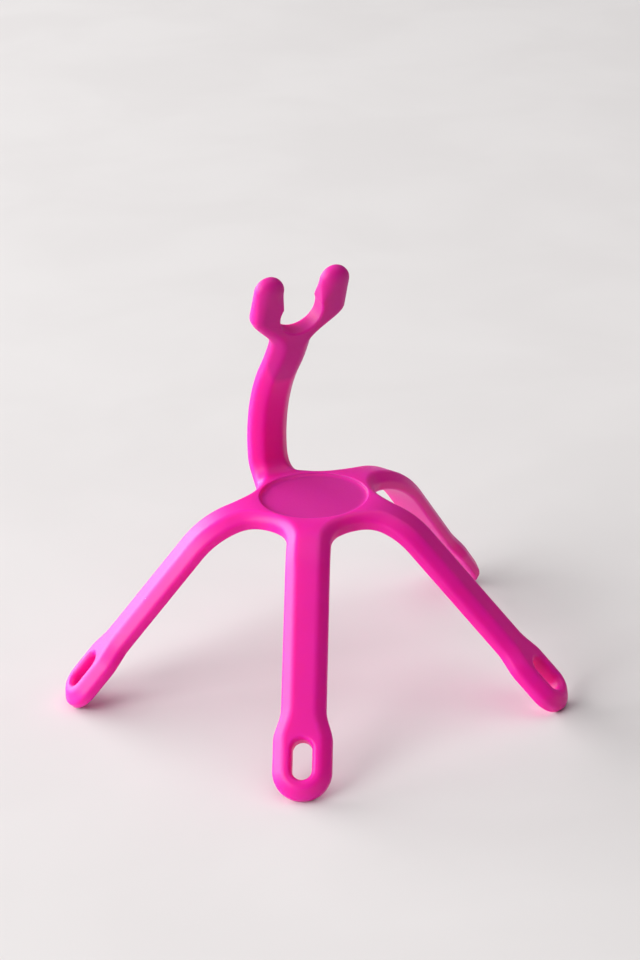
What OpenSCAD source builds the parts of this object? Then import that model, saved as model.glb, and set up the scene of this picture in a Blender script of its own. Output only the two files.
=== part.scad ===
// Flexible phone stand, bent into a standing pose: a moulded star with four legs and a forked arm.
// Each arm holds a bendable wire. The wires end in the slots of a small plate inside the hub.

/* [Hub] */
// Diameter of the shallow round recess in the hub's upper face
recess_d = 36.6; // [28:0.2:42]
// Depth of the recess
recess_depth = 1; // [0.4:0.1:1.2]
// Least width of the land between the recess and the web that joins two arms
rim_w = 3; // [2.5:0.1:6]
// Height of the hub's upper face above the surface under the feet
hub_h = 64.6; // [50:0.2:78]

/* [Arm section] */
// Width of every arm
arm_w = 14.2; // [13:0.2:16]
// Thickness of every arm and of the hub
arm_t = 6; // [5.6:0.1:8]
// Width of the rounded shoulder along each upper edge
shoulder_w = 4.1; // [3:0.1:5]
// Height of the upright side under the shoulder
side_h = 2.5; // [2:0.1:3.2]
// Radius of the lower edge
lower_r = 1; // [0.4:0.1:1.6]

/* [Legs] */
// Length of a leg along its middle, from the hub's axis to the tip
leg_l = 111.8; // [100:0.2:130]
// Straight run of every arm between the web and the start of its bend
straight_run = 2; // [1:0.1:5]
// Bend radius of the front leg
front_bend_r = 24; // [16:1:44]
// Bend radius of the right leg
right_bend_r = 25; // [16:1:44]
// Bend radius of the rear leg
rear_bend_r = 39; // [16:1:44]
// Bend radius of the left leg
left_bend_r = 30; // [16:1:44]
// Depth of the flat that each tip is moulded with where it meets the surface
foot_flat = 0.3; // [0.1:0.05:0.6]

/* [Foot loops] */
// Width of the loop at the end of each leg
loop_w = 18.6; // [17:0.2:24]
// Length over which a leg widens into its loop
loop_blend_l = 10; // [6:0.5:16]
// Width of the slot through the loop
slot_w = 6.2; // [4.6:0.1:7]
// Length of the slot from end to end
slot_l = 12.4; // [9:0.2:18]
// Width of the rounding round the slot's upper edge
slot_round = 1.4; // [0.6:0.1:1.6]

/* [Grip arm] */
// Length of the grip arm along its middle, from the hub's axis to the prong tips
grip_l = 109.4; // [96:0.2:130]
// Radius of the tight bend that lifts the grip arm off the hub
lift_r = 8.4; // [7:0.2:16]
// Angle of the tight bend
lift_angle = 86.5; // [70:0.5:95]
// Angle of the slow bend above it
lean_angle = 39.5; // [10:0.5:45]
// Length of the slow bend
lean_l = 36.5; // [20:0.5:45]
// Angle by which the arm's upper end bends back
return_angle = 16.5; // [0:0.5:30]
// Length of the return bend
return_l = 19.5; // [10:0.5:24]
// Twist of the fork about the arm
fork_twist = -3; // [-20:1:20]

/* [Fork] */
// Width of the neck under the fork
neck_w = 14; // [12.4:0.2:16]
// Width of each prong
prong_w = 10; // [8:0.2:12]
// Diameter of the round seat between the prongs
seat_d = 15; // [10:0.2:18]
// How far the mouth between the prongs is narrower than the seat, on each side
seat_grip = 0.6; // [0.4:0.1:1]
// Distance from the seat's middle to the prong tips
prong_reach = 15; // [12:0.5:20]
// Length over which the neck widens into the shoulders of the fork
fork_blend_l = 14; // [11:0.5:16]
// Length over which the arm narrows into the neck
neck_blend_l = 7; // [4:0.5:12]

/* [Wires] */
// Diameter of each bendable wire
wire_d = 2.4; // [1.6:0.1:2.8]
// Gap round the wires and the plate, and between the wires and the plate's slots
core_gap = 0.05; // [0.02:0.01:0.15]
// Cover of silicone between a wire's outer end and the slot or seat in front of it
end_cover = 3; // [2:0.5:8]

/* [Hub plate] */
// Diameter of the plate that ties the wires together
plate_d = 27; // [22:0.5:30]
// Thickness of the plate
plate_t = 1.5; // [1:0.1:2]
// Length of each wire that lies in its slot in the plate
slot_hold_l = 6; // [4:0.5:8]

/* [Hidden] */
$fn = 72;

arm_count = 5;
arm_step = 360 / arm_count;
front_azimuth = -90;
cut_over = 1;

// The web between two arms is an arc that runs into both arm edges.
arm_half = arm_w / 2;
mid_z = arm_t / 2;
web_reach = recess_d / 2 + rim_w;
web_r = (web_reach * sin(arm_step / 2) - arm_half) / (1 - sin(arm_step / 2));
web_x = (arm_half + web_r) / tan(arm_step / 2);
bend_x = web_reach * cos(arm_step / 2) + straight_run;
mid_h = hub_h - mid_z;
least_land = 0.5;
least_run = 1;

// Foot loop
loop_half = loop_w / 2;
slot_half = slot_w / 2;
tip_x = leg_l - loop_half;
slot_x = tip_x - (slot_l - slot_w);
loop_x = slot_x - slot_half;
loop_shoulder = min(shoulder_w, loop_half - slot_half - slot_round - least_land);

// Fork
prong_half = prong_w / 2;
mouth_half = seat_d / 2 - seat_grip;
fork_half = mouth_half + prong_w;
seat_x = grip_l - prong_reach;
prong_x = grip_l - prong_half;
neck_x = seat_x - fork_blend_l;
neck_shoulder = min(shoulder_w, neck_w / 2 - least_land);
prong_round_share = 0.72;
prong_shoulder = prong_round_share * prong_half;
prong_lower = prong_half / 2;
seat_round = 1.2;

// Steps of the loft
web_steps = 6;
bend_steps = 8;
blend_steps = 5;
round_steps = 5;
tip_steps = 5;
rod_sides = 12;
rod_step = 8;
shoulder_steps = 4;

function clamp(v, low, high) = max(low, min(high, v));
function ease(t) = t * t * (3 - 2 * t);
function ramp(from, to, x) = ease(clamp((x - from) / (to - from), 0, 1));
function mix(a, b, share) = a * (1 - share) + b * share;
function span(from, to, steps) = [for (k = [1:steps]) from + (to - from) * k / steps];

// Section of an edge, from the underside up: each point is [inset from the outline, height].
function edge_section(shoulder, side, lower) = concat(
    [for (a = [0:45:90]) [lower * (1 - sin(a)), lower * (1 - cos(a))]],
    [for (k = [0:shoulder_steps]) let (a = 90 * k / shoulder_steps)
        [shoulder * (1 - cos(a)), side + (arm_t - side) * sin(a)]]);

arm_section = edge_section(shoulder_w, side_h, lower_r);
loop_section = edge_section(loop_shoulder, side_h, lower_r);
slot_section = edge_section(slot_round, arm_t - slot_round, lower_r);
neck_section = edge_section(neck_shoulder, side_h, lower_r);
prong_section = edge_section(prong_shoulder, mid_z, prong_lower);
seat_section = edge_section(seat_round, arm_t - seat_round, seat_round);
section_points = len(arm_section);

// Path of an arm's middle, as runs of [length, angle]. A frame is [distance out, height, slope].
function advance(at, run, rate) = abs(rate) < 0.000001
    ? [at[0] + run * cos(at[2]), at[1] + run * sin(at[2]), at[2]]
    : let (r = 180 / (PI * rate), slope = at[2] + rate * run)
        [at[0] + r * (sin(slope) - sin(at[2])), at[1] + r * (cos(at[2]) - cos(slope)), slope];

function frame_at(path, x, at = [0, 0, 0], k = 0) =
    k >= len(path) ? advance(at, x, 0)
    : x <= path[k][0] ? advance(at, x, path[k][1] / path[k][0])
    : frame_at(path, x - path[k][0], advance(at, path[k][0], path[k][1] / path[k][0]), k + 1);

function arc_l(radius, angle) = radius * angle * PI / 180;
function leg_path(radius, angle) = [[bend_x, 0], [arc_l(radius, angle), -angle]];

// Height of the lowest point of a leg's tip, and the bend at which its flat meets the surface
function tip_low(radius, angle) =
    let (f = frame_at(leg_path(radius, angle), leg_l - lower_r))
        mid_h + f[1] - (mid_z - lower_r) * cos(angle) - lower_r + foot_flat;
function leg_angle(radius, low = 5, high = 88, tries = 30) =
    let (angle = (low + high) / 2)
        tries == 0 ? angle
        : tip_low(radius, angle) > 0 ? leg_angle(radius, angle, high, tries - 1)
        : leg_angle(radius, low, angle, tries - 1);

// Outline of an arm, as stations of [x, half width, outward direction x, outward direction y]
web_stations = [for (k = [0:web_steps])
    let (a = 180 + arm_step / 2 + (90 - arm_step / 2) * k / web_steps)
        [web_x + web_r * cos(a), arm_half + web_r + web_r * sin(a), -cos(a), -sin(a)]];

function knot_at(knots, x, k = 0) = k >= len(knots) - 2 || x < knots[k + 1][0]
    ? k : knot_at(knots, x, k + 1);
function edge_station(knots, x) =
    let (k = knot_at(knots, x), a = knots[k], b = knots[k + 1],
         t = clamp((x - a[0]) / (b[0] - a[0]), 0, 1),
         slope = (b[1] - a[1]) * 6 * t * (1 - t) / (b[0] - a[0]), n = norm([slope, 1]))
        [x, mix(a[1], b[1], ease(t)), -slope / n, 1 / n];
function arc_station(x, y, radius, a) = [x + radius * cos(a), y + radius * sin(a), cos(a), sin(a)];
function hollow_station(x, radius, a) = [x + radius * cos(a), radius * sin(a), -cos(a), -sin(a)];

// Sections are given at places along an arm, as pairs of [x, section], and change smoothly between.
function section_at(places, x, k = 0) = k >= len(places) - 1 ? places[k][1]
    : x > places[k + 1][0] ? section_at(places, x, k + 1)
    : mix(places[k][1], places[k + 1][1], ramp(places[k][0], places[k + 1][0], x));

// Stations of a foot loop: the outer edge and the slot's edge, in step with each other
function leg_stations(knots, bend_end, split_x) = [
    concat([for (k = [1:web_steps]) web_stations[k]],
           [for (x = span(web_x, bend_end, bend_steps)) edge_station(knots, x)],
           [edge_station(knots, knots[1][0])],
           [for (x = span(knots[1][0], split_x, blend_steps)) edge_station(knots, x)]),
    concat([for (x = span(split_x, slot_x, round_steps)) edge_station(knots, x)],
           [for (k = [0:tip_steps]) arc_station(tip_x, 0, loop_half, 90 - 90 * k / tip_steps)]),
    concat([for (k = [0:round_steps]) hollow_station(slot_x, slot_half, 180 - 90 * k / round_steps)],
           [for (k = [0:tip_steps]) hollow_station(tip_x, slot_half, 90 - 90 * k / tip_steps)])];

// Stations of the fork: the outer edge of a prong and the edge of the notch, in step
function grip_stations(knots, split_x) = [
    concat([for (k = [1:web_steps]) web_stations[k]],
           [for (x = span(web_x, knots[1][0], 2 * bend_steps)) edge_station(knots, x)],
           [for (x = span(knots[1][0], split_x, blend_steps)) edge_station(knots, x)]),
    concat([for (x = span(split_x, seat_x, 2 * round_steps)) edge_station(knots, x)],
           [for (k = [0:tip_steps])
               arc_station(prong_x, mouth_half + prong_half, prong_half, 90 - 90 * k / tip_steps)]),
    concat([for (k = [0:2 * round_steps])
               hollow_station(seat_x, mouth_half, 180 - 45 * k / round_steps)],
           [for (k = [0:tip_steps])
               arc_station(prong_x, mouth_half + prong_half, prong_half, 90 * k / tip_steps - 90)])];

// An arm is [azimuth, path, twist, stations, outer sections, inner sections, closed at the tip].
function leg(number, radius) =
    let (angle = leg_angle(radius), loop_start = loop_x - loop_blend_l,
         knots = [[web_x, arm_half], [loop_start, arm_half], [loop_x, loop_half], [leg_l, loop_half]],
         bend_end = clamp(bend_x + arc_l(radius, angle), web_x + least_run, loop_start - least_run))
        [front_azimuth + number * arm_step, leg_path(radius, angle), 0,
         leg_stations(knots, bend_end, loop_x - slot_round - least_land),
         [[loop_start, arm_section], [loop_x, loop_section]], [[slot_x, slot_section]], true];

grip_path = [[bend_x, 0], [arc_l(lift_r, lift_angle), lift_angle], [lean_l, lean_angle],
             [return_l, -return_angle]];
neck_start = neck_x - neck_blend_l;
grip_knots = [[web_x, arm_half], [neck_start, arm_half], [neck_x, neck_w / 2],
              [seat_x, fork_half], [grip_l, fork_half]];
grip_arm = [front_azimuth + 3 * arm_step, grip_path, fork_twist,
            grip_stations(grip_knots, seat_x - mouth_half - seat_round - least_run),
            [[neck_start, arm_section], [neck_x, neck_section], [seat_x, prong_section]],
            [[seat_x, seat_section], [prong_x, prong_section]], false];

arms = [leg(0, front_bend_r), leg(1, right_bend_r), leg(2, rear_bend_r), grip_arm,
        leg(4, left_bend_r)];

// From the flat star to the bent one
function twist_at(arm, x) = arm[2] * ramp(web_x, neck_start, x);
function on_arm(arm, x, y, z) =
    let (f = frame_at(arm[1], x), turn = twist_at(arm, x),
         across = y * cos(turn) - (z - mid_z) * sin(turn),
         up = y * sin(turn) + (z - mid_z) * cos(turn),
         out = f[0] - up * sin(f[2]))
        [out * cos(arm[0]) - across * sin(arm[0]), out * sin(arm[0]) + across * cos(arm[0]),
         mid_h + f[1] + up * cos(f[2])];
function column(arm, station, section, side) = [for (p = section)
    on_arm(arm, station[0] - p[0] * station[2], side * (station[1] - p[0] * station[3]), p[1])];

// Columns of one arm: right and left edges up to the split, then right and left outer edges,
// then right and left inner edges.
function arm_columns(arm) = let (stations = arm[3]) [
    for (side = [1, -1], s = stations[0]) column(arm, s, section_at(arm[4], s[0]), side),
    for (side = [1, -1], s = stations[1]) column(arm, s, section_at(arm[4], s[0]), side),
    for (side = [1, -1], s = stations[2]) column(arm, s, section_at(arm[5], s[0]), side)];

web_columns = [for (k = [0:arm_count - 1])
    let (arm = arms[k], s = web_stations[0]) column(arm, s, arm_section, 1)];
arm_blocks = [for (arm = arms) arm_columns(arm)];
function block_start(k) = k == 0 ? arm_count : block_start(k - 1) + len(arm_blocks[k - 1]);
hub_middle = [[0, 0, mid_h - mid_z], [0, 0, mid_h + mid_z]];
body_points = concat([for (c = web_columns) each c],
                     [for (block = arm_blocks) for (c = block) each c], hub_middle);

// Faces between two neighbouring columns, and across the upper and lower sides
top = section_points - 1;
function wall(a, b) = [for (m = [0:top - 1]) each
    [[b + m, b + m + 1, a + m + 1], [b + m, a + m + 1, a + m]]];
function decks(r0, r1, l1, l0) = concat(
    r1 == l1 ? [] : [[r0 + top, r1 + top, l1 + top], [l1, r1, r0]],
    [[r0 + top, l1 + top, l0 + top], [l0, l1, r0]]);

function arm_faces(k) =
    let (stations = arms[k][3], closed = arms[k][6], start = block_start(k),
         n = len(stations[0]), m = len(stations[1]),
         stem = function (side, j) j == 0
             ? (side > 0 ? k : (k + arm_count - 1) % arm_count) * section_points
             : (start + (side > 0 ? 0 : n) + j - 1) * section_points,
         outer = function (side, j) j == 0 ? stem(side, n)
             : (start + 2 * n + (side > 0 || (closed && j == m) ? 0 : m) + j - 1) * section_points,
         inner = function (side, j) !closed && j == m ? outer(side, m)
             : (start + 2 * n + 2 * m + (side > 0 || j == 0 || j == m ? 0 : m + 1) + j)
                 * section_points,
         middle = len(body_points) - 2)
        concat([[middle + 1, stem(1, 0) + top, stem(-1, 0) + top], [middle, stem(-1, 0), stem(1, 0)]],
               [for (j = [0:n - 1]) each concat(
                   wall(stem(1, j), stem(1, j + 1)), wall(stem(-1, j + 1), stem(-1, j)),
                   decks(stem(1, j), stem(1, j + 1), stem(-1, j + 1), stem(-1, j)))],
               [[stem(1, n) + top, inner(1, 0) + top, stem(-1, n) + top],
                [stem(-1, n), inner(1, 0), stem(1, n)]],
               [for (j = [0:m - 1]) each concat(
                   wall(outer(1, j), outer(1, j + 1)), wall(inner(1, j + 1), inner(1, j)),
                   decks(outer(1, j), outer(1, j + 1), inner(1, j + 1), inner(1, j)),
                   wall(outer(-1, j + 1), outer(-1, j)), wall(inner(-1, j), inner(-1, j + 1)),
                   decks(inner(-1, j), inner(-1, j + 1), outer(-1, j + 1), outer(-1, j)))]);

body_faces = [for (k = [0:arm_count - 1]) each arm_faces(k)];

// The part stands with the middle of its outline over the origin.
function middle_of(values) = (min(values) + max(values)) / 2;
centre_x = middle_of([for (p = body_points) p[0]]);
centre_y = middle_of([for (p = body_points) p[1]]);
module place() { translate([-centre_x, -centre_y, 0]) children(); }

// Children stand on the arm's middle at x, with the arm running along their X.
module at_station(arm, x, turn = 0) {
    f = frame_at(arm[1], x);
    rotate([0, 0, arm[0]]) translate([f[0], 0, mid_h + f[1]]) rotate([0, -f[2], 0])
        rotate([turn, 0, 0]) children();
}

// A round rod along an arm's middle: rings of points, with more of them where the path bends
function run_start(path, k) = k == 0 ? 0 : run_start(path, k - 1) + path[k - 1][0];
function rod_stops(path, from, to) = concat([from],
    [for (k = [0:len(path) - 1])
        let (a = max(from, run_start(path, k)), b = min(to, run_start(path, k) + path[k][0]),
             bend = abs(path[k][1]), steps = max(1, ceil(bend * (b - a) / path[k][0] / rod_step)))
            if (b > a) each span(a, b, steps)],
    to > run_start(path, len(path)) ? [to] : []);
function rod_ring(arm, x, radius) = let (f = frame_at(arm[1], x)) [for (k = [0:rod_sides - 1])
    let (a = 360 * k / rod_sides, across = radius * sin(a), up = radius * cos(a),
         out = f[0] - up * sin(f[2]))
        [out * cos(arm[0]) - across * sin(arm[0]), out * sin(arm[0]) + across * cos(arm[0]),
         mid_h + f[1] + up * cos(f[2])]];
module rod(arm, from, to, radius) {
    stops = rod_stops(arm[1], from, to);
    points = [for (x = stops) each rod_ring(arm, x, radius)];
    last = (len(stops) - 1) * rod_sides;
    sides = [for (j = [0:len(stops) - 2], k = [0:rod_sides - 1])
        let (a = j * rod_sides + k, b = j * rod_sides + (k + 1) % rod_sides)
            each [[a, b, b + rod_sides], [a, b + rod_sides, a + rod_sides]]];
    ends = [[for (k = [rod_sides - 1:-1:0]) k], [for (k = [0:rod_sides - 1]) last + k]];
    polyhedron(points, concat(ends, sides), convexity = 6);
}

wire_start = plate_d / 2 - slot_hold_l;
leg_wire_end = loop_x - end_cover;
grip_wire_end = seat_x - seat_d / 2 - end_cover;
function wire_end(arm) = arm[6] ? leg_wire_end : grip_wire_end;

module wire(arm) { color("silver") place() rod(arm, wire_start, wire_end(arm), wire_d / 2); }

module cores() {
    translate([0, 0, mid_h])
        cylinder(d = plate_d + 2 * core_gap, h = plate_t + 2 * core_gap, center = true);
    for (arm = arms) rod(arm, wire_start - core_gap, wire_end(arm) + core_gap,
                         (wire_d / 2 + core_gap) / cos(180 / rod_sides));
}

module silicone_body() {
    reach = leg_l + grip_l;
    color("deeppink") place() difference() {
        polyhedron(body_points, body_faces, convexity = 8);
        translate([0, 0, hub_h - recess_depth]) cylinder(d = recess_d, h = recess_depth + cut_over);
        at_station(grip_arm, seat_x, fork_twist)
            cylinder(d = seat_d, h = arm_t + 2 * cut_over, center = true);
        translate([-reach, -reach, -cut_over - foot_flat])
            cube([2 * reach, 2 * reach, cut_over + foot_flat]);
        cores();
    }
}

module hub_plate() {
    slot_d = wire_d + 2 * core_gap;
    color("gray") place() translate([0, 0, mid_h]) difference() {
        cylinder(d = plate_d, h = plate_t, center = true);
        for (arm = arms) rotate([0, 0, arm[0]]) translate([wire_start - core_gap, 0, 0]) {
            cylinder(d = slot_d, h = plate_t + 2 * cut_over, center = true);
            translate([0, -slot_d / 2, -plate_t / 2 - cut_over])
                cube([plate_d, slot_d, plate_t + 2 * cut_over]);
        }
    }
}

module front_leg_wire() { wire(arms[0]); }
module right_leg_wire() { wire(arms[1]); }
module rear_leg_wire() { wire(arms[2]); }
module grip_arm_wire() { wire(arms[3]); }
module left_leg_wire() { wire(arms[4]); }

silicone_body();
hub_plate();
front_leg_wire();
right_leg_wire();
rear_leg_wire();
grip_arm_wire();
left_leg_wire();
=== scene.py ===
import math

import bmesh
import bpy
from mathutils import Matrix, Vector


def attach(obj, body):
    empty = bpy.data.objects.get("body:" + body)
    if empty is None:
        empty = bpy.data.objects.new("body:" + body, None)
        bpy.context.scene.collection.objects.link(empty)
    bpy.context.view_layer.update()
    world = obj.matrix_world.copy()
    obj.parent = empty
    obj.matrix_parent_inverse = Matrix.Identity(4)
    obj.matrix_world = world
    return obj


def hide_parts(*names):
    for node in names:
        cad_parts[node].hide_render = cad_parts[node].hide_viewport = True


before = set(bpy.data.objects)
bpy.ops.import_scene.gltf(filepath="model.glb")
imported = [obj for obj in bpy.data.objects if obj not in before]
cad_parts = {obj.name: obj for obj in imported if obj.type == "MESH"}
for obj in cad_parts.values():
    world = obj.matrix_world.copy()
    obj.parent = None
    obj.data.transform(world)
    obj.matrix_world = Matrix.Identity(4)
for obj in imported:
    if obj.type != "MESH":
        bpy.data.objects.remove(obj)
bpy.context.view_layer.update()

# Sizes of the stand in millimetres, as in the part's source
MM = 0.001
RECESS_R = 18.3
RECESS_DEPTH = 1.0
RIM_W = 3.0
HUB_H = 64.6
ARM_W = 14.2
ARM_T = 6.0
SHOULDER_W = 4.1
SIDE_H = 2.5
LOWER_R = 1.0
LEG_L = 111.8
STRAIGHT_RUN = 2.0
LEG_BEND_R = {"front": 24.0, "right": 25.0, "rear": 39.0, "left": 30.0}
FOOT_FLAT = 0.3
LOOP_W = 18.6
LOOP_BLEND_L = 10.0
SLOT_W = 6.2
SLOT_L = 12.4
SLOT_ROUND = 1.4
GRIP_L = 109.4
LIFT_R = 8.4
LIFT_ANGLE = math.radians(86.5)
LEAN_ANGLE = math.radians(39.5)
LEAN_L = 36.5
RETURN_ANGLE = math.radians(16.5)
RETURN_L = 19.5
FORK_TWIST = math.radians(-3)
NECK_W = 14.0
PRONG_W = 10.0
SEAT_R = 7.5
SEAT_GRIP = 0.6
PRONG_REACH = 15.0
FORK_BLEND_L = 14.0
NECK_BLEND_L = 7.0

# Soft details that the moulding has and the solid leaves out, in millimetres
CHAMFER_SHARE = 0.5  # how far the middle of a shoulder lies from a round towards a chamfer
CRISP_SHARE = 0.1
PRONG_SHARE = 0.05
WEB_SHOULDER_W = 2.8
SLOT_ROUND_H = 1.8
SLOT_LOWER_R = 0.8
NOTCH_EDGE_R = 0.4
NOTCH_BLEND_START = 2.0
HEEL_SHOULDER_W = 3.1
HEEL_LOWER_R = 2.25
PRONG_SHOULDER_W = 4.2
PRONG_LOWER_R = 2.5
TIP_TRIM = 0.25
SEAT_EDGE_R = 0.8
RECESS_WALL_R = 17.8
RECESS_EDGE_R = 0.55
RECESS_FLOOR_W = 2.4
RECESS_FLOOR_H = 0.7
FLARE_TURN = math.radians(82)
FLARE_LIP = 0.05

# The hub's axis in the part's frame
HUB_X = -0.318471
HUB_Y = 8.24319

# Flat land left between the shoulders, and where the mesh splits before a slot or the seat
LOOP_LAND = 0.5
NECK_LAND = 0.8
LOOP_SPLIT = 2.5
SEAT_SPLIT = 2.0

# Steps of the visible mesh
WEB_STEPS = 18
STEM_STEP = 1.1  # millimetres
ROUND_STEPS = 16
TIP_STEPS = 18
LIP_STEPS = 6
SHOULDER_STEPS = 10
LOWER_STEPS = 5
TURNED_SIDES = 160
CUT_OVER = 1.0

ARM_STEP = math.radians(72)
HALF_STEP = ARM_STEP / 2
QUARTER = math.pi / 2
ARM_NAMES = ("front", "right", "rear", "grip", "left")
FRONT_AZIMUTH = -QUARTER

ARM_HALF = ARM_W / 2
MID_Z = ARM_T / 2
MID_H = HUB_H - MID_Z
WEB_REACH = RECESS_R + RIM_W
WEB_R = (WEB_REACH * math.sin(HALF_STEP) - ARM_HALF) / (1 - math.sin(HALF_STEP))
WEB_X = (ARM_HALF + WEB_R) / math.tan(HALF_STEP)
BEND_X = WEB_REACH * math.cos(HALF_STEP) + STRAIGHT_RUN
LOOP_HALF = LOOP_W / 2
SLOT_HALF = SLOT_W / 2
TIP_X = LEG_L - LOOP_HALF
SLOT_X = TIP_X - (SLOT_L - SLOT_W)
LOOP_X = SLOT_X - SLOT_HALF
PRONG_HALF = PRONG_W / 2
MOUTH_HALF = SEAT_R - SEAT_GRIP
FORK_HALF = MOUTH_HALF + PRONG_W
SEAT_X = GRIP_L - PRONG_REACH
PRONG_X = GRIP_L - TIP_TRIM - PRONG_HALF
NECK_X = SEAT_X - FORK_BLEND_L
NECK_START = NECK_X - NECK_BLEND_L


def ease(t):
    t = min(max(t, 0.0), 1.0)
    return t * t * (3 - 2 * t)


def mix(a, b, share):
    return a * (1 - share) + b * share


def span(start, end, steps):
    """Places after start, up to and with end."""
    return [start + (end - start) * k / steps for k in range(1, steps + 1)]


def advance(at, run, rate):
    """A frame (distance out, height, slope), moved along its path by run while its slope turns at rate."""
    out, height, slope = at
    if abs(rate) < 1e-9:
        return out + run * math.cos(slope), height + run * math.sin(slope), slope
    turned = slope + rate * run
    return (out + (math.sin(turned) - math.sin(slope)) / rate,
            height + (math.cos(slope) - math.cos(turned)) / rate, turned)


def frame_at(path, x):
    at = (0.0, 0.0, 0.0)
    for length, angle in path:
        if x <= length:
            return advance(at, x, angle / length)
        at = advance(at, length, angle / length)
        x -= length
    return advance(at, x, 0.0)


def leg_path(radius, angle):
    return [(BEND_X, 0.0), (radius * angle, -angle)]


def leg_angle(radius):
    """The bend at which a leg's tip meets the surface."""
    low, high = math.radians(5), math.radians(88)
    for _ in range(40):
        angle = (low + high) / 2
        height = frame_at(leg_path(radius, angle), LEG_L - LOWER_R)[1]
        tip = MID_H + height - (MID_Z - LOWER_R) * math.cos(angle) - LOWER_R + FOOT_FLAT
        low, high = (angle, high) if tip > 0 else (low, angle)
    return angle


def edge_section(shoulder, side, lower, margin, chamfer=CHAMFER_SHARE):
    """Section of an edge from the underside up, as (inset, height), with a wide soft shoulder on top.

    The margin carries the flat faces a little further in than the shoulder."""
    points = [(lower + margin, 0.0)]
    for k in range(LOWER_STEPS + 1):
        a = QUARTER * k / LOWER_STEPS
        points.append((lower * (1 - math.sin(a)), lower * (1 - math.cos(a))))
    rise = ARM_T - side
    for k in range(SHOULDER_STEPS + 1):
        t = k / SHOULDER_STEPS
        a = QUARTER * t
        share = chamfer * math.sin(math.pi * t)
        points.append((shoulder * mix(1 - math.cos(a), t, share),
                       side + rise * mix(math.sin(a), t, share)))
    points.append((shoulder + margin, ARM_T))
    return points


def blend_sections(places, x):
    """Section at x, from places given as (x, section)."""
    if x <= places[0][0]:
        return places[0][1]
    for (x0, first), (x1, second) in zip(places, places[1:]):
        if x <= x1:
            share = ease((x - x0) / (x1 - x0))
            return [(mix(a[0], b[0], share), mix(a[1], b[1], share)) for a, b in zip(first, second)]
    return places[-1][1]


def web_station(k):
    """Outline of the web between two arms, as (x, half width, outward x, outward y)."""
    a = math.pi + HALF_STEP + (QUARTER - HALF_STEP) * k / WEB_STEPS
    c, s = math.cos(a), math.sin(a)
    return WEB_X + WEB_R * c, ARM_HALF + WEB_R + WEB_R * s, -c, -s


def edge_station(knots, x):
    """Outline of an arm that widens smoothly between knots of (x, half width)."""
    k = 0
    while k < len(knots) - 2 and x >= knots[k + 1][0]:
        k += 1
    (x0, y0), (x1, y1) = knots[k], knots[k + 1]
    t = min(max((x - x0) / (x1 - x0), 0.0), 1.0)
    slope = (y1 - y0) * 6 * t * (1 - t) / (x1 - x0)
    n = math.hypot(slope, 1)
    return x, mix(y0, y1, ease(t)), -slope / n, 1 / n


def round_station(x, y, radius, a, outward=1):
    """Outline on an arc, with the material inside the arc for outward 1 and outside it for outward -1."""
    c, s = math.cos(a), math.sin(a)
    return x + radius * c, y + radius * s, outward * c, outward * s


def stem_stops(end):
    return span(WEB_X, end, math.ceil((end - WEB_X) / STEM_STEP))


class Arm:
    """One arm: its path, its outline and its sections. Stations of its outer and inner edges are in step."""

    def __init__(self, number, path, twist=0.0):
        self.azimuth = FRONT_AZIMUTH + number * ARM_STEP
        self.path = path
        self.twist = twist

    def place(self, x, y, z):
        """A point of the flat star, moved to where the bent arm has it."""
        out, height, slope = frame_at(self.path, x)
        turn = self.twist * ease((x - WEB_X) / (NECK_START - WEB_X))
        across = y * math.cos(turn) - (z - MID_Z) * math.sin(turn)
        up = y * math.sin(turn) + (z - MID_Z) * math.cos(turn)
        reach = out - up * math.sin(slope)
        c, s = math.cos(self.azimuth), math.sin(self.azimuth)
        return (HUB_X + reach * c - across * s, HUB_Y + reach * s + across * c,
                max(MID_H + height + up * math.cos(slope), 0.0))


ARM_SECTION = edge_section(SHOULDER_W, SIDE_H, LOWER_R, margin=0.5)
WEB_SECTION = edge_section(WEB_SHOULDER_W, SIDE_H, LOWER_R, margin=0.1, chamfer=CRISP_SHARE)
WEB_START = (WEB_REACH * math.cos(HALF_STEP), WEB_SECTION)


def make_leg(number, radius):
    leg = Arm(number, leg_path(radius, leg_angle(radius)))
    loop_start = LOOP_X - LOOP_BLEND_L
    split_x = LOOP_X - SLOT_ROUND - LOOP_SPLIT
    knots = [(WEB_X, ARM_HALF), (loop_start, ARM_HALF), (LOOP_X, LOOP_HALF), (LEG_L, LOOP_HALF)]
    leg.stem = [web_station(k) for k in range(1, WEB_STEPS + 1)]
    leg.stem += [edge_station(knots, x) for x in stem_stops(split_x)]
    leg.outer = [edge_station(knots, x) for x in span(split_x, SLOT_X, ROUND_STEPS)]
    leg.outer += [round_station(TIP_X, 0, LOOP_HALF, QUARTER * (1 - k / TIP_STEPS))
                  for k in range(TIP_STEPS + 1)]
    leg.inner = [round_station(SLOT_X, 0, SLOT_HALF, math.pi - QUARTER * k / ROUND_STEPS, -1)
                 for k in range(ROUND_STEPS + 1)]
    leg.inner += [round_station(TIP_X, 0, SLOT_HALF, QUARTER * (1 - k / TIP_STEPS), -1)
                  for k in range(TIP_STEPS + 1)]
    loop_shoulder = min(SHOULDER_W, LOOP_HALF - SLOT_HALF - SLOT_ROUND - LOOP_LAND)
    loop_edge = edge_section(loop_shoulder, SIDE_H, LOWER_R, margin=0.15)
    slot_edge = edge_section(SLOT_ROUND, ARM_T - SLOT_ROUND_H, SLOT_LOWER_R, margin=0.15, chamfer=CRISP_SHARE)
    leg.outer_sections = [WEB_START, (WEB_X, ARM_SECTION), (loop_start, ARM_SECTION), (LOOP_X, loop_edge)]
    leg.inner_sections = [(SLOT_X, slot_edge)]
    leg.closed = True
    return leg


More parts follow.
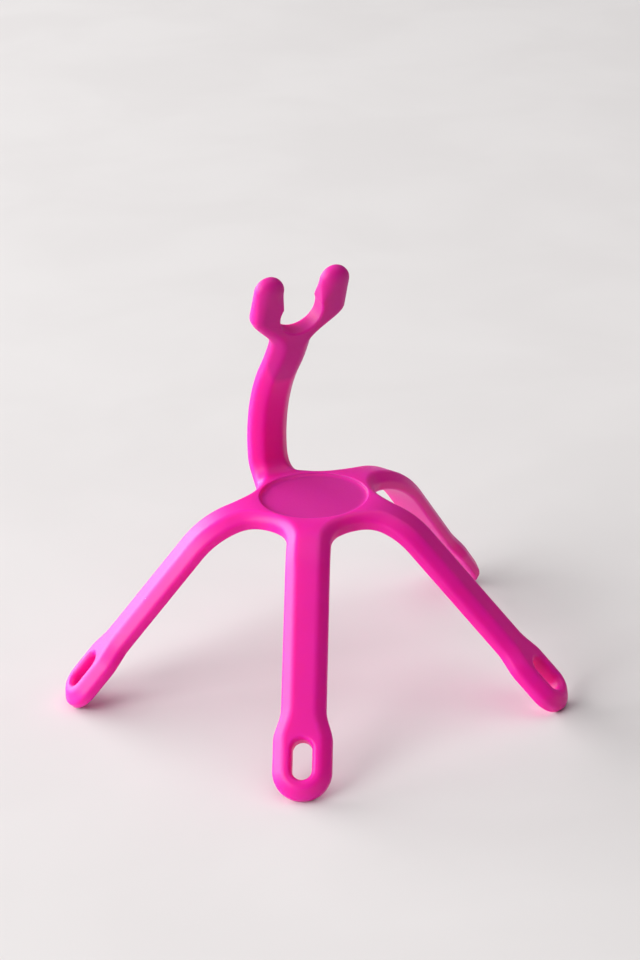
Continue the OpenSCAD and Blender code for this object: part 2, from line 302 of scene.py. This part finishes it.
def make_grip_arm():
    grip = Arm(3, [(BEND_X, 0.0), (LIFT_R * LIFT_ANGLE, LIFT_ANGLE), (LEAN_L, LEAN_ANGLE),
                   (RETURN_L, -RETURN_ANGLE)], FORK_TWIST)
    knots = [(WEB_X, ARM_HALF), (NECK_START, ARM_HALF), (NECK_X, NECK_W / 2), (SEAT_X, FORK_HALF),
             (GRIP_L, FORK_HALF)]
    split_x = SEAT_X - SEAT_R - SEAT_EDGE_R - SEAT_SPLIT
    grip.stem = [web_station(k) for k in range(1, WEB_STEPS + 1)]
    grip.stem += [edge_station(knots, x) for x in stem_stops(split_x)]
    notch = [round_station(SEAT_X, 0, MOUTH_HALF, math.pi - QUARTER * k / (2 * ROUND_STEPS), -1)
             for k in range(2 * ROUND_STEPS + 1)]
    notch += [(x, MOUTH_HALF, 0.0, -1.0) for x in span(SEAT_X, PRONG_X, ROUND_STEPS)]
    grip.outer = [edge_station(knots, x) for x in span(split_x, SEAT_X, 2 * ROUND_STEPS)]
    grip.outer += [edge_station(knots, x) for x in span(SEAT_X, PRONG_X, ROUND_STEPS)]
    prong_y = MOUTH_HALF + PRONG_HALF
    grip.outer += [round_station(PRONG_X, prong_y, PRONG_HALF, QUARTER * (1 - k / TIP_STEPS))
                   for k in range(TIP_STEPS + 1)]
    grip.inner = notch + [round_station(PRONG_X, prong_y, PRONG_HALF, QUARTER * (k / TIP_STEPS - 1))
                          for k in range(TIP_STEPS + 1)]
    heel = edge_section(HEEL_SHOULDER_W, MID_Z, HEEL_LOWER_R, margin=0.1, chamfer=PRONG_SHARE)
    prong = edge_section(PRONG_SHOULDER_W, MID_Z, PRONG_LOWER_R, margin=0.1, chamfer=PRONG_SHARE)
    neck = edge_section(min(SHOULDER_W, NECK_W / 2 - NECK_LAND), SIDE_H, LOWER_R, margin=0.4)
    notch_edge = edge_section(NOTCH_EDGE_R, ARM_T - NOTCH_EDGE_R, NOTCH_EDGE_R, margin=0.2, chamfer=0.0)
    grip.outer_sections = [WEB_START, (WEB_X, ARM_SECTION), (NECK_START, ARM_SECTION), (NECK_X, neck),
                           (SEAT_X, heel), (PRONG_X, prong)]
    grip.inner_sections = [(SEAT_X + NOTCH_BLEND_START, notch_edge), (PRONG_X, prong)]
    grip.closed = False
    return grip


class Skin:
    """Points and faces of the moulded body."""

    def __init__(self):
        self.points = []
        self.faces = []

    def column(self, arm, station, section, side):
        x, y, nx, ny = station
        first = len(self.points)
        for inset, height in section:
            self.points.append(arm.place(x - inset * nx, side * (y - inset * ny), height))
        return range(first, len(self.points))

    def wall(self, a, b):
        for m in range(len(a) - 1):
            self.faces.append((a[m], a[m + 1], b[m + 1], b[m]))

    def decks(self, *columns):
        """The upper and the lower face that join these columns."""
        for end in (-1, 0):
            corners = [c[end] for c in columns]
            distinct = [v for v, following in zip(corners, corners[1:] + corners[:1]) if v != following]
            if len(distinct) > 2:
                self.faces.append(tuple(distinct))


def skin_arm(skin, arm, right_web, left_web):
    """Walls and flat faces of one arm: its stem first, then both sides of its slot or notch."""

    def column(station, sections, side):
        return skin.column(arm, station, blend_sections(sections, station[0]), side)

    edges = {}
    for side, web in ((1, right_web), (-1, left_web)):
        stem = [web] + [column(s, arm.outer_sections, side) for s in arm.stem]
        for a, b in zip(stem, stem[1:]):
            skin.wall(a, b)
        edges[side] = stem
    for j in range(len(arm.stem)):
        skin.decks(edges[1][j], edges[1][j + 1], edges[-1][j + 1], edges[-1][j])
    start = column(arm.inner[0], arm.inner_sections, 1)
    skin.decks(edges[1][-1], start, edges[-1][-1])
    last = len(arm.outer) - 1
    shared_outer, shared_inner = None, None
    for side in (1, -1):
        outer, inner = edges[side][-1], start
        for j, (out_station, in_station) in enumerate(zip(arm.outer, arm.inner[1:])):
            tip = j == last
            if arm.closed and tip and side < 0:
                next_outer, next_inner = shared_outer, shared_inner
            else:
                next_outer = column(out_station, arm.outer_sections, side)
                next_inner = next_outer
                if arm.closed or not tip:
                    next_inner = column(in_station, arm.inner_sections, side)
            skin.wall(outer, next_outer)
            skin.wall(inner, next_inner)
            skin.decks(outer, next_outer, next_inner, inner)
            outer, inner = next_outer, next_inner
        shared_outer, shared_inner = outer, inner


def mesh_object(name, points, faces, scale=MM):
    mesh = bpy.data.meshes.new(name)
    mesh.from_pydata([Vector(p) * scale for p in points], [], faces)
    mesh.validate()
    obj = bpy.data.objects.new(name, mesh)
    bpy.context.scene.collection.objects.link(obj)
    return obj


def face_outwards(obj):
    """Joins points that coincide, and turns all the faces outwards and smooth."""
    bm = bmesh.new()
    bm.from_mesh(obj.data)
    bmesh.ops.remove_doubles(bm, verts=bm.verts, dist=1e-6)
    bmesh.ops.recalc_face_normals(bm, faces=bm.faces)
    for face in bm.faces:
        face.smooth = True
    bm.to_mesh(obj.data)
    bm.free()


def star_object():
    skin = Skin()
    arms = [make_grip_arm() if name == "grip" else make_leg(k, LEG_BEND_R[name])
            for k, name in enumerate(ARM_NAMES)]
    webs = [skin.column(arm, web_station(0), WEB_SECTION, 1) for arm in arms]
    for k, arm in enumerate(arms):
        skin_arm(skin, arm, webs[k], webs[k - 1])
    skin.decks(*webs)
    star = mesh_object("silicone_star", skin.points, skin.faces)
    face_outwards(star)
    return star


def turned_object(name, profile, stand):
    """A shape turned round the Z axis of stand, from a profile of (radius, height)."""
    rings = []
    points = []
    for r, z in profile:
        if r == 0:
            rings.append([len(points)] * TURNED_SIDES)
            points.append(stand @ Vector((0, 0, z)))
            continue
        rings.append(range(len(points), len(points) + TURNED_SIDES))
        for k in range(TURNED_SIDES):
            a = 2 * math.pi * k / TURNED_SIDES
            points.append(stand @ Vector((r * math.cos(a), r * math.sin(a), z)))
    faces = []
    for a, b in zip(rings, rings[1:]):
        for k in range(TURNED_SIDES):
            n = (k + 1) % TURNED_SIDES
            faces.append(tuple(dict.fromkeys((a[k], a[n], b[n], b[k]))))
    turned = mesh_object(name, points, faces)
    face_outwards(turned)
    return turned


def flare(radius, height, edge_r):
    """Profile of an edge that opens from radius in a soft round, up to height and past it."""
    points = [(radius + edge_r * (1 - math.cos(a)), height + edge_r * (math.sin(a) - math.sin(FLARE_TURN)))
              for a in [FLARE_TURN * k / LIP_STEPS for k in range(LIP_STEPS + 1)]]
    return points + [(points[-1][0] + FLARE_LIP, height + CUT_OVER)]


def recess_cutter():
    """The recess, with the round where its wall meets its floor and its soft rim."""
    floor_round = [(RECESS_WALL_R - RECESS_FLOOR_W * (1 - math.sin(a)),
                    RECESS_FLOOR_H * (1 - math.cos(a)) - RECESS_DEPTH)
                   for a in [QUARTER * k / LIP_STEPS for k in range(LIP_STEPS + 1)]]
    rim = flare(RECESS_WALL_R, 0.0, RECESS_EDGE_R)
    profile = [(0.0, -RECESS_DEPTH)] + floor_round + rim + [(0.0, CUT_OVER)]
    return turned_object("recess_cutter", profile, Matrix.Translation((HUB_X, HUB_Y, HUB_H)))


def seat_cutter(grip):
    """The round seat between the prongs, with soft edges on both sides of the fork."""
    upper = flare(SEAT_R, MID_Z, SEAT_EDGE_R)
    lower = [(radius, -height) for radius, height in reversed(upper)]
    profile = [(0.0, -MID_Z - CUT_OVER)] + lower + upper + [(0.0, MID_Z + CUT_OVER)]
    middle = Vector(grip.place(SEAT_X, 0, MID_Z))
    axes = [Vector(grip.place(*at)) - middle
            for at in ((SEAT_X + 1, 0, MID_Z), (SEAT_X, 1, MID_Z), (SEAT_X, 0, MID_Z + 1))]
    stand = Matrix.Translation(middle) @ Matrix(axes).transposed().to_4x4()
    return turned_object("seat_cutter", profile, stand)


def cut(obj, cutter):
    """Takes cutter away from obj, and deletes it."""
    step = obj.modifiers.new("cut", "BOOLEAN")
    step.operation, step.solver, step.object = "DIFFERENCE", "MANIFOLD", cutter
    shaped = bpy.data.meshes.new_from_object(obj.evaluated_get(bpy.context.evaluated_depsgraph_get()))
    obj.modifiers.clear()
    obj.data = shaped
    bpy.data.objects.remove(cutter)
    for face in shaped.polygons:
        face.use_smooth = True


# Node helpers
class Nodes:
    """Adds and joins nodes in one tree."""

    def __init__(self, tree):
        self.tree = tree

    def add(self, kind, settings=None, **inputs):
        node = self.tree.nodes.new(kind)
        for key, value in (settings or {}).items():
            setattr(node, key, value)
        for key, value in inputs.items():
            self.feed(node, key.replace("_", " "), value)
        return node

    def feed(self, node, key, value):
        socket = node.inputs[int(key[1:])] if key[0] == "#" else node.inputs[key]
        if isinstance(value, bpy.types.NodeSocket):
            self.tree.links.new(value, socket)
        else:
            socket.default_value = value

    def math(self, operation, a, b=0.0, clamp=False):
        node = self.add("ShaderNodeMath", {"operation": operation, "use_clamp": clamp})
        self.feed(node, "#0", a)
        self.feed(node, "#1", b)
        return node.outputs[0]

    def blend(self, share, a, b):
        node = self.add("ShaderNodeMix", {"data_type": "RGBA"})
        for k, value in ((0, share), (6, a), (7, b)):
            self.feed(node, f"#{k}", value)
        return node.outputs[2]

    def spread(self, value, low, high, to_low=0.0, to_high=1.0):
        node = self.add("ShaderNodeMapRange", {"interpolation_type": "SMOOTHSTEP"}, Value=value)
        for key, number in (("From Min", low), ("From Max", high), ("To Min", to_low), ("To Max", to_high)):
            node.inputs[key].default_value = number
        return node.outputs[0]

    def noise(self, where, scale, detail=2.0, roughness=0.5, distortion=0.0):
        node = self.add("ShaderNodeTexNoise", None, Vector=where, Scale=scale, Detail=detail,
                        Roughness=roughness, Distortion=distortion)
        return node.outputs["Fac"]


def effect_group(name, inputs, outputs, build):
    """A shader node group. build gets the node helper and the group's inputs, and returns its outputs."""
    tree = bpy.data.node_groups.new(name, "ShaderNodeTree")
    for label, kind, value in inputs:
        socket = tree.interface.new_socket(name=label, in_out="INPUT", socket_type="NodeSocket" + kind)
        if value is not None:
            socket.default_value = value
    for label, kind in outputs:
        tree.interface.new_socket(name=label, in_out="OUTPUT", socket_type="NodeSocket" + kind)
    nodes = Nodes(tree)
    ins = nodes.add("NodeGroupInput").outputs
    out = nodes.add("NodeGroupOutput")
    for label, value in build(nodes, ins).items():
        tree.links.new(value, out.inputs[label])
    return tree


def build_grain(n, ins):
    """Fine moulded grain: a close even texture with a slower swell under it."""
    where = n.add("ShaderNodeTexCoord").outputs["Object"]
    fine = n.noise(where, ins["Scale"], 3.0, 0.6)
    swell = n.noise(where, n.math("MULTIPLY", ins["Scale"], 0.06), 1.0)
    height = n.math("ADD", n.math("MULTIPLY", fine, ins["Fine"]), n.math("MULTIPLY", swell, ins["Swell"]))
    return {"Height": height, "Fine": fine}


def build_mottle(n, ins):
    """Slow drift between two near colours."""
    where = n.add("ShaderNodeTexCoord").outputs["Object"]
    drift = n.noise(where, ins["Scale"], 3.0, 0.55, 0.4)
    return {"Colour": n.blend(n.spread(drift, 0.32, 0.68), ins["Colour A"], ins["Colour B"])}


def build_specks(n, ins):
    """Scattered specks of dust, each in its own cell."""
    where = n.add("ShaderNodeTexCoord").outputs["Object"]
    cell = n.add("ShaderNodeTexVoronoi", {"feature": "F1"}, Vector=where, Scale=ins["Scale"])
    chance = n.add("ShaderNodeSeparateColor", None, Color=cell.outputs["Color"]).outputs[0]
    kept = n.math("LESS_THAN", chance, ins["Share"])
    dot = n.math("LESS_THAN", cell.outputs["Distance"], n.math("MULTIPLY", chance, ins["Size"]))
    return {"Mask": n.math("MULTIPLY", kept, dot)}


def build_dish(n, ins):
    """Mask of a round recess: 1 within a radius of an upright axis and above the centre's level."""
    where = n.add("ShaderNodeTexCoord").outputs["Object"]
    offset = n.add("ShaderNodeVectorMath", {"operation": "SUBTRACT"})
    n.feed(offset, "#0", where)
    n.feed(offset, "#1", ins["Centre"])
    parts = n.add("ShaderNodeSeparateXYZ", None, Vector=offset.outputs[0]).outputs
    squares = [n.math("MULTIPLY", part, part) for part in (parts[0], parts[1])]
    radius = n.math("SQRT", n.math("ADD", *squares))
    inside = n.math("DIVIDE", n.math("SUBTRACT", ins["Radius"], radius), ins["Edge"], clamp=True)
    return {"Mask": n.math("MULTIPLY", inside, n.math("GREATER_THAN", parts[2], 0.0))}


def build_lines(n, ins):
    """Fine drawn or brushed lines across the width."""
    where = n.add("ShaderNodeTexCoord").outputs["Object"]
    stretched = n.add("ShaderNodeVectorMath", {"operation": "MULTIPLY"})
    n.feed(stretched, "#0", where)
    n.feed(stretched, "#1", ins["Stretch"])
    lines = n.noise(stretched.outputs[0], ins["Scale"], 4.0, 0.65)
    return {"Lines": lines}


GRAIN = effect_group("fine_grain",
                     [("Scale", "Float", 2500.0), ("Fine", "Float", 1.0), ("Swell", "Float", 1.0)],
                     [("Height", "Float"), ("Fine", "Float")], build_grain)
MOTTLE = effect_group("soft_mottle",
                      [("Scale", "Float", 30.0), ("Colour A", "Color", None), ("Colour B", "Color", None)],
                      [("Colour", "Color")], build_mottle)
SPECKS = effect_group("dust_specks",
                      [("Scale", "Float", 300.0), ("Share", "Float", 0.02), ("Size", "Float", 8.0)],
                      [("Mask", "Float")], build_specks)
DISH = effect_group("recess_floor",
                    [("Centre", "Vector", (0.0, 0.0, 0.0)), ("Radius", "Float", 0.018),
                     ("Edge", "Float", 0.001)],
                    [("Mask", "Float")], build_dish)
LINES = effect_group("metal_lines",
                     [("Scale", "Float", 900.0), ("Stretch", "Vector", (1.0, 1.0, 1.0))],
                     [("Lines", "Float")], build_lines)


def new_material(name):
    material = bpy.data.materials.new(name)
    material.use_nodes = True
    tree = material.node_tree
    return material, Nodes(tree), tree.nodes["Principled BSDF"]


def use_group(nodes, tree, **values):
    node = nodes.add("ShaderNodeGroup", {"node_tree": tree})
    for key, value in values.items():
        node.inputs[key.replace("_", " ")].default_value = value
    return node


def add_bump(nodes, shader, height, strength, distance):
    bump = nodes.add("ShaderNodeBump", None, Strength=strength, Distance=distance, Height=height)
    nodes.feed(shader, "Normal", bump.outputs[0])


PINK = (0.78, 0.0, 0.345, 1)
LIGHTER_PINK = (0.82, 0.001, 0.375, 1)
# Darker pink that the recess floor is drawn in
RECESS_DARKER_PINK = (0.60, 0.0, 0.285, 1)
PINK_DUST = (0.92, 0.62, 0.80, 1)
DUST_COVER = 0.35
RECESS_DARKER_COVER = 0.9
RECESS_FADE = 1.6  # millimetres
SATIN = (0.40, 0.50)
RECESS_EXTRA_ROUGHNESS = 0.1


def satin_silicone():
    material, n, shader = new_material("satin_pink_silicone")
    mottle = use_group(n, MOTTLE, Scale=28.0, Colour_A=PINK, Colour_B=LIGHTER_PINK)
    grain = use_group(n, GRAIN, Scale=3200.0, Fine=1.0, Swell=1.6)
    specks = use_group(n, SPECKS, Scale=420.0, Share=0.012, Size=9.0)
    dust = n.math("MULTIPLY", specks.outputs["Mask"], DUST_COVER)
    dusty = n.blend(dust, mottle.outputs["Colour"], PINK_DUST)
    # The recess floor is drawn in a darker pink and made rougher than the rest of the body
    dish = use_group(n, DISH, Centre=(HUB_X * MM, HUB_Y * MM, (HUB_H - 2 * RECESS_DEPTH) * MM),
                     Radius=RECESS_WALL_R * MM, Edge=RECESS_FADE * MM)
    recess_darker = n.math("MULTIPLY", dish.outputs["Mask"], RECESS_DARKER_COVER)
    n.feed(shader, "Base Color", n.blend(recess_darker, dusty, RECESS_DARKER_PINK))
    rough = n.spread(grain.outputs["Fine"], 0.3, 0.7, *SATIN)
    extra = n.math("MULTIPLY", dish.outputs["Mask"], RECESS_EXTRA_ROUGHNESS)
    n.feed(shader, "Roughness", n.math("ADD", rough, extra))
    add_bump(n, shader, grain.outputs["Height"], 0.25, 0.00004)
    shader.inputs["IOR"].default_value = 1.46
    shader.inputs["Specular Tint"].default_value = (1.0, 0.88, 0.80, 1)
    shader.inputs["Subsurface Weight"].default_value = 0.9
    shader.inputs["Subsurface Radius"].default_value = (1.0, 0.12, 0.6)
    shader.inputs["Subsurface Scale"].default_value = 0.005
    shader.inputs["Sheen Weight"].default_value = 0.05
    shader.inputs["Sheen Roughness"].default_value = 0.45
    shader.inputs["Sheen Tint"].default_value = (1.0, 0.82, 0.95, 1)
    return material


def drawn_metal(name, dark, light, scale, stretch, rough_low, rough_high):
    """Bare metal with fine lines, which stretch draws out along one direction."""
    material, n, shader = new_material(name)
    lines = use_group(n, LINES, Scale=scale, Stretch=stretch)
    grain = use_group(n, GRAIN, Scale=1800.0, Fine=0.4, Swell=0.8)
    n.feed(shader, "Base Color", n.blend(n.spread(lines.outputs["Lines"], 0.3, 0.7), dark, light))
    n.feed(shader, "Roughness", n.spread(lines.outputs["Lines"], 0.25, 0.75, rough_low, rough_high))
    add_bump(n, shader, n.math("ADD", lines.outputs["Lines"], grain.outputs["Height"]), 0.3, 0.00005)
    shader.inputs["Metallic"].default_value = 1.0
    return material


FLOOR_PALE = (0.735, 0.708, 0.703, 1)
FLOOR_PALER = (0.760, 0.734, 0.729, 1)


def pale_floor():
    material, n, shader = new_material("pale_floor")
    mottle = use_group(n, MOTTLE, Scale=9.0, Colour_A=FLOOR_PALE, Colour_B=FLOOR_PALER)
    grain = use_group(n, GRAIN, Scale=900.0, Fine=0.5, Swell=1.0)
    n.feed(shader, "Base Color", mottle.outputs["Colour"])
    add_bump(n, shader, grain.outputs["Height"], 0.15, 0.0001)
    shader.inputs["Roughness"].default_value = 0.75
    return material


# The stand, and the metal that its CAD nodes keep
star = star_object()
cut(star, recess_cutter())
cut(star, seat_cutter(make_grip_arm()))
even = star.modifiers.new("even_normals", "WEIGHTED_NORMAL")
even.mode, even.weight = "FACE_AREA", 50
star.data.materials.clear()
star.data.materials.append(satin_silicone())
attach(star, "root")
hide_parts("silicone_body")

WIRE_METAL = drawn_metal("drawn_wire", (0.60, 0.61, 0.62, 1), (0.80, 0.80, 0.81, 1), 2600.0,
                         (1.0, 1.0, 0.25), 0.26, 0.42)
PLATE_METAL = drawn_metal("stamped_plate", (0.44, 0.45, 0.46, 1), (0.62, 0.62, 0.63, 1), 1500.0,
                          (0.06, 1.0, 1.0), 0.30, 0.50)
for name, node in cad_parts.items():
    if name == "silicone_body":
        continue
    node.data.materials.clear()
    node.data.materials.append(PLATE_METAL if name == "hub_plate" else WIRE_METAL)

# Floor
FLOOR_HALF = 6.0  # metres
floor = mesh_object("floor", [(-FLOOR_HALF, -FLOOR_HALF, 0), (FLOOR_HALF, -FLOOR_HALF, 0),
                              (FLOOR_HALF, FLOOR_HALF, 0), (-FLOOR_HALF, FLOOR_HALF, 0)], [(0, 1, 2, 3)], 1.0)
floor.data.materials.append(pale_floor())

# Light: a broad soft key at the left, a soft one at the front left, one overhead and a dim pale room
WORLD_LEVEL = 0.11
ROOM = (0.93, 0.93, 0.95, 1)
BACKDROP = (0.80, 0.79, 0.79, 1)
world = bpy.data.worlds.new("studio")
bpy.context.scene.world = world
world.use_nodes = True
world_nodes = Nodes(world.node_tree)
backdrop = world.node_tree.nodes["Background"]
rays = world_nodes.add("ShaderNodeLightPath")
seen = world_nodes.math("ADD", rays.outputs["Is Camera Ray"], rays.outputs["Is Transmission Ray"], True)
world_nodes.feed(backdrop, "Color", world_nodes.blend(seen, ROOM, BACKDROP))
world_nodes.feed(backdrop, "Strength", world_nodes.math(
    "ADD", WORLD_LEVEL, world_nodes.math("MULTIPLY", seen, 1 - WORLD_LEVEL)))


def soft_light(name, at, aim, width, height, radiance):
    """A rectangular lamp, set by its radiance so that its size can change without changing the level."""
    data = bpy.data.lights.new(name, "AREA")
    data.shape, data.size, data.size_y = "RECTANGLE", width, height
    data.energy = radiance * width * height * math.pi
    lamp = bpy.data.objects.new(name, data)
    lamp.location = at
    lamp.rotation_euler = (Vector(aim) - Vector(at)).to_track_quat("-Z", "Y").to_euler()
    bpy.context.scene.collection.objects.link(lamp)


STAND_MIDDLE = (0.0, 0.0, 0.06)
soft_light("key_left", (-3.70, 1.38, 1.28), STAND_MIDDLE, 5.6, 2.1, 7.6)
soft_light("key_front", (-2.60, -2.10, 1.60), STAND_MIDDLE, 2.4, 2.0, 7.4)
soft_light("overhead", (0.30, 0.30, 2.90), STAND_MIDDLE, 3.2, 3.2, 1.05)

# Camera, at the photograph's angle
LENS_MM = 90.05
SENSOR_MM = 36.0
PICTURE_W, PICTURE_H = 640, 960
CAMERA_DISTANCE = 789.9
CAMERA_ELEVATION = 0.4248
CAMERA_TURN = 0.0721
CAMERA_ROLL = 0.0278
AIM_HEIGHT = 63.60
AIM_IN_PICTURE = (313.72, 497.19)

focal = LENS_MM / SENSOR_MM * PICTURE_H
right = Vector((1, 0, 0))
forward = Vector((0, math.cos(CAMERA_ELEVATION), -math.sin(CAMERA_ELEVATION)))
up = Vector((0, math.sin(CAMERA_ELEVATION), math.cos(CAMERA_ELEVATION)))
right, up = (right * math.cos(CAMERA_ROLL) - up * math.sin(CAMERA_ROLL),
             right * math.sin(CAMERA_ROLL) + up * math.cos(CAMERA_ROLL))
turn = Matrix.Rotation(CAMERA_TURN, 3, "Z")
right, up, forward = turn @ right, turn @ up, turn @ forward
aim_right = (AIM_IN_PICTURE[0] - PICTURE_W / 2) / focal * CAMERA_DISTANCE
aim_up = -(AIM_IN_PICTURE[1] - PICTURE_H / 2) / focal * CAMERA_DISTANCE
aim = Vector((HUB_X, HUB_Y, AIM_HEIGHT))
stance = aim - right * aim_right - up * aim_up - forward * CAMERA_DISTANCE
camera_data = bpy.data.cameras.new("camera")
camera_data.lens, camera_data.sensor_width = LENS_MM, SENSOR_MM
camera = bpy.data.objects.new("camera", camera_data)
axes = Matrix((right, up, -forward)).transposed().to_4x4()
camera.matrix_world = Matrix.Translation(stance * MM) @ axes
bpy.context.scene.collection.objects.link(camera)
bpy.context.scene.camera = camera
bpy.context.scene.view_settings.view_transform = "Standard"
